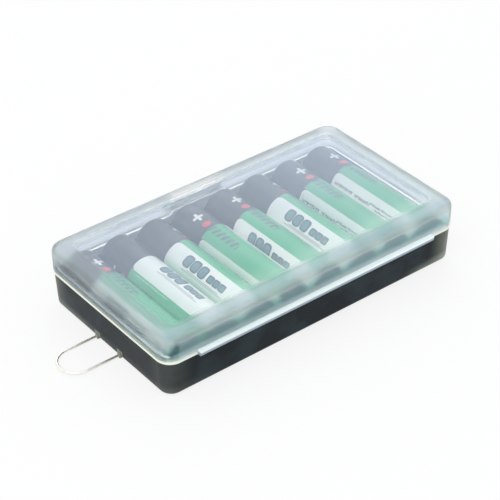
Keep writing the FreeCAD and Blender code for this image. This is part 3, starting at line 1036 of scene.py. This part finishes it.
@dataclass
class Studio:
    """Camera, pale floor, world and soft lamps. Millimetres and degrees; the floor's side is in metres."""

    lens: float = 121.648
    sensor: float = 36.0
    azimuth: float = -37.86
    elevation: float = 35.837
    roll: float = -0.629
    distance: float = 429.818
    target: Triple = (-0.397, 1.625, 8.0)
    world_colour: Colour = (0.95, 0.98, 1.0)
    world_level: float = 0.85
    floor_colour: Colour = (0.9, 0.9, 0.9)
    floor_glow: float = 0.8
    floor_gap: float = 0.03
    floor_side: float = 4.0
    lamps: tuple[Lamp, ...] = (Lamp("key_lamp", azimuth=-60, elevation=60, size=0.5, level=0.2),
                               Lamp("back_lamp", azimuth=150, elevation=40, size=0.6, level=0.15))

    def camera(self) -> None:
        """Adds the camera."""
        data = bpy.data.cameras.new("camera")
        data.lens = self.lens
        data.sensor_width = self.sensor
        data.clip_start = 0.01
        data.dof.use_dof = False
        camera = bpy.data.objects.new("camera", data)
        bpy.context.scene.collection.objects.link(camera)
        back = direction(self.azimuth, self.elevation)
        camera.location = (Vector(self.target) + back * self.distance) * MM
        camera.rotation_mode = "QUATERNION"
        camera.rotation_quaternion = ((-back).to_track_quat("-Z", "Y")
                                      @ Quaternion((0, 0, 1), math.radians(self.roll)))
        bpy.context.scene.camera = camera

    def world(self) -> None:
        """Soft grey world light, white where the camera or a glossy or clear surface sees it."""
        world = bpy.data.worlds.new("studio_world")
        world.use_nodes = True
        bpy.context.scene.world = world
        shader = Shader(world.node_tree)
        lit = shader.node("ShaderNodeBackground",
                          sockets={"Color": self.world_colour, "Strength": self.world_level})
        white = shader.node("ShaderNodeBackground", sockets={"Color": WHITE, "Strength": 1.0})
        surface = shader.blend_surfaces(self.seen(shader), lit.outputs[0], white.outputs[0])
        shader.finish(surface, "ShaderNodeOutputWorld")

    @staticmethod
    def seen(shader: Shader) -> Signal:
        """Mask of camera, glossy and transmission rays."""
        path, rays = shader.node("ShaderNodeLightPath"), ("Camera", "Glossy", "Transmission")
        return sum(Signal(shader, path.outputs[f"Is {ray} Ray"]) for ray in rays).clamped()

    def floor(self) -> None:
        """Adds the pale floor, which keeps a soft shadow and can be seen through from below."""
        bpy.ops.object.select_all(action="DESELECT")
        bpy.ops.mesh.primitive_plane_add(size=self.floor_side, location=(0, 0, -self.floor_gap * MM))
        floor = bpy.context.active_object
        floor.name = "studio_floor"
        shader, material = Shader.of_material("studio_floor")
        pale = shader.surface(Base_Color=self.floor_colour, Roughness=0.9)
        glow = shader.node("ShaderNodeEmission", sockets={"Color": WHITE, "Strength": 1.0})
        lit = shader.blend_surfaces(self.seen(shader) * self.floor_glow, pale, glow.outputs[0])
        side = shader.node("ShaderNodeNewGeometry")
        through = shader.node("ShaderNodeBsdfTransparent")
        shader.finish(shader.blend_surfaces(side.outputs["Backfacing"], lit, through.outputs[0]))
        floor.data.materials.append(material)

    def build(self) -> None:
        """Sets up the whole studio."""
        bpy.context.scene.view_settings.view_transform = "Standard"
        self.camera()
        self.world()
        self.floor()
        for lamp in self.lamps:
            lamp.add()
        LOG.info("camera, floor, world and two lamps set")


@dataclass
class SleeveSkin:
    """The printed sleeve of a cell: a shrunk tube with a groove near its positive end and puckered ends.

    A step is how far a ring of its outer face lies from that end of the cell, and how far it lies below
    the radius. A ripple is its depth, its waves round the cell and its radians per millimetre along it.
    All lengths are millimetres.
    """

    radius: float = CELL_RADIUS
    wall: float = 0.1
    slack: float = 0.014
    around: int = 96
    bottom_y: float = -21.65
    shoulder_y: float = 21.95
    bottom_steps: tuple[Span, ...] = ((0.0, 1.05), (0.0, 0.55), (0.03, 0.33), (0.10, 0.17), (0.22, 0.06),
                                      (0.42, 0.0), (1.2, 0.0), (4.0, 0.0), (10.0, 0.0), (18.0, 0.0),
                                      (26.0, 0.0), (32.0, 0.0))
    top_steps: tuple[Span, ...] = ((5.0, 0.0), (3.4, 0.0), (2.9, 0.0), (2.6, 0.03), (2.3, 0.08),
                                   (2.0, 0.03), (1.7, 0.0), (1.0, 0.0), (0.45, 0.0), (0.25, 0.05),
                                   (0.10, 0.17), (0.03, 0.33), (0.0, 0.55), (0.0, 1.05))
    ripples: tuple[Triple, ...] = ((0.008, 3.0, 0.35), (0.006, 7.0, -0.8))
    folds: int = 19
    fold_depth: float = 0.035
    fold_reach: float = 0.5
    fold_inset: float = 0.1
    fold_sway: float = 1.3
    fold_sways: int = 4

    def outline(self) -> list[Span]:
        """Places along the cell and radii of the outer face, from one end's lip to the other's."""
        bottom = [(self.bottom_y + away, self.radius - drop) for away, drop in self.bottom_steps]
        return bottom + [(self.shoulder_y - away, self.radius - drop) for away, drop in self.top_steps]

    def model(self) -> bpy.types.Object:
        """Models one sleeve about the Y axis, at the height of the axis 0.

        Returns:
            The sleeve, with no wall yet.
        """
        bpy.ops.object.select_all(action="DESELECT")
        steps = self.outline()
        start_y, start_radius = steps[0]
        bpy.ops.mesh.primitive_circle_add(vertices=self.around, radius=start_radius * MM,
                                          location=(0, start_y * MM, 0), rotation=(math.pi / 2, 0, 0))
        skin = bpy.context.active_object
        bpy.ops.object.transform_apply(location=True, rotation=True, scale=True)
        bpy.ops.object.mode_set(mode="EDIT")
        bpy.ops.mesh.select_all(action="SELECT")
        for (y_from, r_from), (y_to, r_to) in zip(steps, steps[1:]):
            move = (0, (y_to - y_from) * MM, 0)
            bpy.ops.mesh.extrude_region_move(TRANSFORM_OT_translate={"value": move})
            ratio = r_to / r_from
            bpy.ops.transform.resize(value=(ratio, 1, ratio), center_override=(0, y_to * MM, 0))
        bpy.ops.mesh.select_all(action="SELECT")
        bpy.ops.mesh.normals_make_consistent(inside=False)
        bpy.ops.object.mode_set(mode="OBJECT")
        bpy.ops.object.shade_smooth()
        return skin

    def pucker(self, skin: bpy.types.Object) -> None:
        """Shrinks small folds into both ends and a slight waviness into the tube.

        Args:
            skin: The sleeve.
        """
        for vertex in skin.data.vertices:
            x, y, z = (value / MM for value in vertex.co)
            r, turn = math.hypot(x, z), math.atan2(x, z)
            wave = sum(depth * math.sin(waves * turn + y * along) for depth, waves, along in self.ripples)
            end = max(0.0, 1 - min(y - self.bottom_y, self.shoulder_y - y) / self.fold_reach)
            sway = self.fold_sway * math.sin(self.fold_sways * turn)
            fold = self.fold_depth * end * math.sin(self.folds * turn + sway)
            fold = fold if r < self.radius - self.fold_inset else 0.0
            scale = (r + wave - self.slack) / r
            vertex.co = (x * scale * MM, (y - math.copysign(abs(fold), y)) * MM, z * scale * MM)

    def thicken(self, skin: bpy.types.Object) -> None:
        """Gives the skin its wall, inwards.

        Args:
            skin: The sleeve.
        """
        wall = skin.modifiers.new("wall", "SOLIDIFY")
        wall.thickness = self.wall * MM
        wall.offset = -1.0
        bpy.context.view_layer.objects.active = skin
        bpy.ops.object.modifier_apply(modifier=wall.name)

    def wrap(self, skin: bpy.types.Object, roll: float) -> None:
        """Lays the print on a sleeve that still stands on the Y axis.

        Args:
            skin: The sleeve.
            roll: Angle of the middle of the first green panel from the top, degrees.
        """
        layer = skin.data.uv_layers.new(name="sleeve_turn")
        for face in skin.data.polygons:
            middle = math.degrees(math.atan2(face.center.x, face.center.z))
            for loop in face.loop_indices:
                co = skin.data.vertices[skin.data.loops[loop].vertex_index].co
                turn = math.degrees(math.atan2(co.x, co.z))
                turn += FULL_TURN * round((middle - turn) / FULL_TURN)
                layer.data[loop].uv = ((turn - roll) / FULL_TURN, co.y / MM / PRINT_SPAN + 0.5)


class PrintSide(Enum):
    """Side of the green panel on which a cell shows its blocks; the value is the extra turn, degrees."""

    LEFT = 0.0
    RIGHT = 180.0


@dataclass
class CellRow:
    """The eight cells in their cradles: a printed sleeve on each, a can, a cap and a washer."""

    pitch: float = 11.0
    axis_z: float = 8.25
    rolls: tuple[tuple[float, PrintSide], ...] = (
        (13.0, PrintSide.LEFT), (-87.0, PrintSide.RIGHT), (42.0, PrintSide.LEFT), (-11.0, PrintSide.RIGHT),
        (8.0, PrintSide.LEFT), (36.0, PrintSide.LEFT), (3.5, PrintSide.RIGHT), (12.0, PrintSide.RIGHT))
    sleeve: SleeveSkin = field(default_factory=SleeveSkin)
    sleeve_print: PrintedSleeve = PrintedSleeve()
    # The cans' teal tone is not the steel's own colour: it copies the dark teal of the cells' ends in shade
    # behind the lid's front wall, a painted shade.
    can: Metal = Metal("nickel_steel", colour=(0.28, 0.53, 0.53), worn=(0.18, 0.42, 0.43), rough=0.26,
                       stretch=(1.0, 0.2, 1.0), sheen=0.55)
    cap: Metal = Metal("nickel_cap", colour=(0.72, 0.71, 0.68), worn=(0.58, 0.57, 0.54), rough=0.16)
    washer: WasherCard = WasherCard()

    def build_sleeves(self) -> None:
        """Makes the eight sleeves from one, each with its own turn of the print."""
        model = self.sleeve.model()
        self.sleeve.pucker(model)
        self.sleeve.thicken(model)
        model.data.materials.append(self.sleeve_print.material())
        last = len(self.rolls) - 1
        for index, (roll, side) in enumerate(self.rolls):
            name = f"cell_{index + 1}"
            skin = model if index == last else model.copy()
            if skin is not model:
                skin.data = model.data.copy()
                bpy.context.scene.collection.objects.link(skin)
            skin.name = f"{name}_sleeve_skin"
            self.sleeve.wrap(skin, roll + side.value)
            seat = ((index - last / 2) * self.pitch * MM, 0, self.axis_z * MM)
            skin.data.transform(Matrix.Translation(seat))
            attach(skin, name)
            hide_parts(f"{name}_sleeve")
            LOG.info("%s made, print turned by %.1f degrees", skin.name, roll + side.value)

    def dress(self) -> None:
        """Dresses the cans, caps and washers."""
        finishes = {"can": self.can.material(), "cap": self.cap.material(),
                    "washer": self.washer.material()}
        for index in range(len(self.rolls)):
            for part, finish in finishes.items():
                dress(f"cell_{index + 1}_{part}", finish)


@dataclass
class Tray:
    """The smoke tray with its eight cradles."""

    plastic: SmokePlastic = SmokePlastic()

    def dress(self) -> None:
        """Dresses the tray."""
        dress("tray", self.plastic.material())


@dataclass
class Lid:
    """The frosted lid with its window, lip and hinge knuckles."""

    plastic: FrostedPlastic = FrostedPlastic()

    def dress(self) -> None:
        """Dresses the lid."""
        dress("lid", self.plastic.material())


@dataclass
class Hanger:
    """The wire loop that slides out of the tray's end."""

    wire: Metal = Metal("steel_wire", colour=(0.95, 0.94, 0.87), worn=(0.85, 0.84, 0.76), rough=0.26,
                        stretch=(0.15, 1.0, 1.0))

    def dress(self) -> None:
        """Dresses the wire."""
        dress("hanger_wire", self.wire.material())


def main() -> None:
    """Builds the studio and every sub-assembly."""
    logging.basicConfig(level=logging.INFO, format="%(name)s: %(message)s")
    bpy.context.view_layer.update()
    Studio().build()
    cells = CellRow()
    cells.build_sleeves()
    cells.dress()
    Tray().dress()
    Lid().dress()
    Hanger().dress()


if __name__ == "__main__":
    main()
